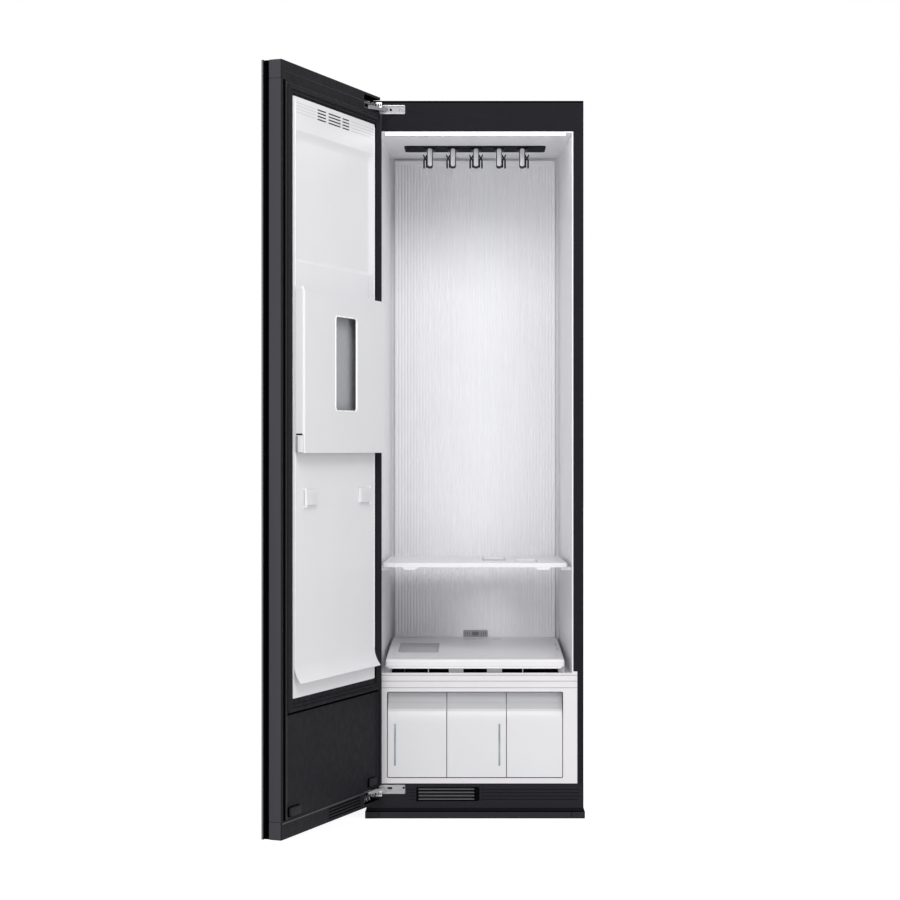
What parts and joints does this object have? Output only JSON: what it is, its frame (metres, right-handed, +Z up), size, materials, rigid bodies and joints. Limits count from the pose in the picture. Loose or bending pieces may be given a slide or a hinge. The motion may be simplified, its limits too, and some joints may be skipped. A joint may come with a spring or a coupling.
{
  "type": "clothes care steam cabinet",
  "caption": "Tall steam cabinet for clothes: glass-fronted door with trouser press, shaking hooks, slotted shelf, sloped tray, pull-out water tanks and drawer, louvred base.",
  "frame": {"origin": "on the floor, at mid-width, under the plane of the case's front face that the door shuts against", "axes": "+X to the right seen from the front, +Y to the back, +Z up"},
  "size_m": [0.823, 1.1415, 1.96],
  "materials": {
    "charcoal_skin": "satin",
    "galvanised": "satin",
    "black_plastic": "matt",
    "charcoal_frame": "anodised, satin",
    "black_glass": "polished, back painted",
    "white_plastic": "satin",
    "white_liner": "satin",
    "grey_plastic": "satin",
    "light_diffuser": "lit diffuser",
    "foam": "foam",
    "hinge_steel": "bright nickel",
    "hook_silver": "satin",
    "rubber_black": "matt",
    "copper": "drawn",
    "fins": "mill",
    "level_blue": "clear tinted",
    "level_green": "clear tinted",
    "compressor_black": "semi gloss"
  },
  "bodies": {
    "case": {"side_panels": "charcoal_skin", "front_top_beam": "charcoal_skin", "top_panel": "charcoal_skin", "rear_panel": "galvanised", "wall_insulation": "foam", "base_pan": "galvanised", "base_skirt": "black_plastic", "rear_feet": "black_plastic", "plinth_grille": "black_plastic", "cabinet_liner": "white_liner", "liner_ceiling": "white_liner", "liner_floor": "white_liner", "back_duct_panel": "white_liner", "light_bar": "light_diffuser", "hanger_slot_plate": "black_plastic", "drive_base": "galvanised", "drive_belt": "rubber_black", "shelf_rails": "white_plastic", "floor_tray": "white_plastic", "steam_grille": "grey_plastic", "fascia_frame": "white_plastic", "tank_bay": "white_plastic", "hinge_brackets": "hinge_steel", "hinge_screws": "hinge_steel", "compressor": "compressor_black", "heat_exchangers": "fins", "blower_housing": "black_plastic", "steam_boiler": "galvanised", "steam_hose": "rubber_black", "water_pumps": "black_plastic", "refrigerant_pipes": "copper", "control_box": "grey_plastic", "power_inlet": "black_plastic"},
    "door": {"door_glass": "black_glass", "glass_carrier": "black_plastic", "door_frame": "charcoal_frame", "door_core": "foam", "door_liner": "white_plastic", "door_seals": "rubber_black", "door_lower_panel": "charcoal_skin", "hinge_arms": "hinge_steel", "press_board": "white_plastic"},
    "press_cover": {"press_cover": "white_plastic"},
    "clip_outer": {"trouser_clip_outer": "white_plastic"},
    "clip_inner": {"trouser_clip_inner": "white_plastic"},
    "hanger": {"hanger_hooks": "black_plastic", "hook_faces": "hook_silver", "hanger_carriage": "galvanised"},
    "cam": {"cam_pulley": "black_plastic"},
    "motor_drive": {"motor_pulley": "fins"},
    "blower": {"blower_wheel": "black_plastic"},
    "shelf": {"shelf": "white_plastic"},
    "supply_tank": {"supply_tank": "white_plastic", "supply_level_window": "level_blue"},
    "drain_tank": {"drain_tank": "white_plastic", "drain_level_window": "level_green"},
    "drawer": {"accessory_drawer": "white_plastic"},
    "cartridge": {"aroma_cartridge": "grey_plastic"},
    "foot_left": {"front_foot_left": "black_plastic"},
    "foot_right": {"front_foot_right": "black_plastic"}
  },
  "joints": [
    {"name": "door_swing", "type": "hinge", "parent": "case", "child": "door", "pos_m": [-0.2895, -0.0415, 1.006], "axis": [0, 0, -1], "range_deg": [-111.6, 8.4]},
    {"name": "press_cover_swing", "type": "hinge", "parent": "door", "child": "press_cover", "pos_m": [-0.4259, -0.54085, 1.2], "axis": [0, 0, -1], "range_deg": [0, 95]},
    {"name": "clip_outer_swing", "type": "hinge", "parent": "door", "child": "clip_outer", "pos_m": [-0.42123, -0.49129, 0.886], "axis": [0, 0, -1], "range_deg": [0, 60], "stiffness_Nm_per_rad": 0.04, "springref_deg": -5.73},
    {"name": "clip_inner_swing", "type": "hinge", "parent": "door", "child": "clip_inner", "pos_m": [-0.28156, -0.13854, 0.886], "axis": [0, 0, 1], "range_deg": [0, 60], "stiffness_Nm_per_rad": 0.04, "springref_deg": -5.73},
    {"name": "hanger_shake", "type": "slide", "parent": "case", "child": "hanger", "axis": [1, 0, 0], "range_m": [-0.01, 0.01]},
    {"name": "cam_spin", "type": "hinge", "parent": "case", "child": "cam", "pos_m": [0.003, 0.345, 1.8928], "axis": [0, 0, 1], "continuous": true},
    {"name": "motor_spin", "type": "hinge", "parent": "case", "child": "motor_drive", "pos_m": [0.13, 0.345, 1.8928], "axis": [0, 0, 1], "continuous": true},
    {"name": "blower_spin", "type": "hinge", "parent": "case", "child": "blower", "pos_m": [0.188, 0.4, 0.205], "axis": [1, 0, 0], "continuous": true},
    {"name": "shelf_slide", "type": "slide", "parent": "case", "child": "shelf", "axis": [0, -1, 0], "range_m": [0, 0.25]},
    {"name": "supply_tank_slide", "type": "slide", "parent": "case", "child": "supply_tank", "axis": [0, -1, 0], "range_m": [0, 0.18]},
    {"name": "drain_tank_slide", "type": "slide", "parent": "case", "child": "drain_tank", "axis": [0, -1, 0], "range_m": [0, 0.18]},
    {"name": "drawer_slide", "type": "slide", "parent": "case", "child": "drawer", "axis": [0, -1, 0], "range_m": [0, 0.18]},
    {"name": "cartridge_slide", "type": "slide", "parent": "case", "child": "cartridge", "axis": [0, -1, 0], "range_m": [0, 0.04]},
    {"name": "foot_left_screw", "type": "slide", "parent": "case", "child": "foot_left", "axis": [0, 0, -1], "range_m": [0, 0.012]},
    {"name": "foot_right_screw", "type": "slide", "parent": "case", "child": "foot_right", "axis": [0, 0, -1], "range_m": [0, 0.012]}
  ],
  "couplings": [
    {"joint": "motor_spin", "follows": "cam_spin", "ratio": 2.8571}
  ]
}
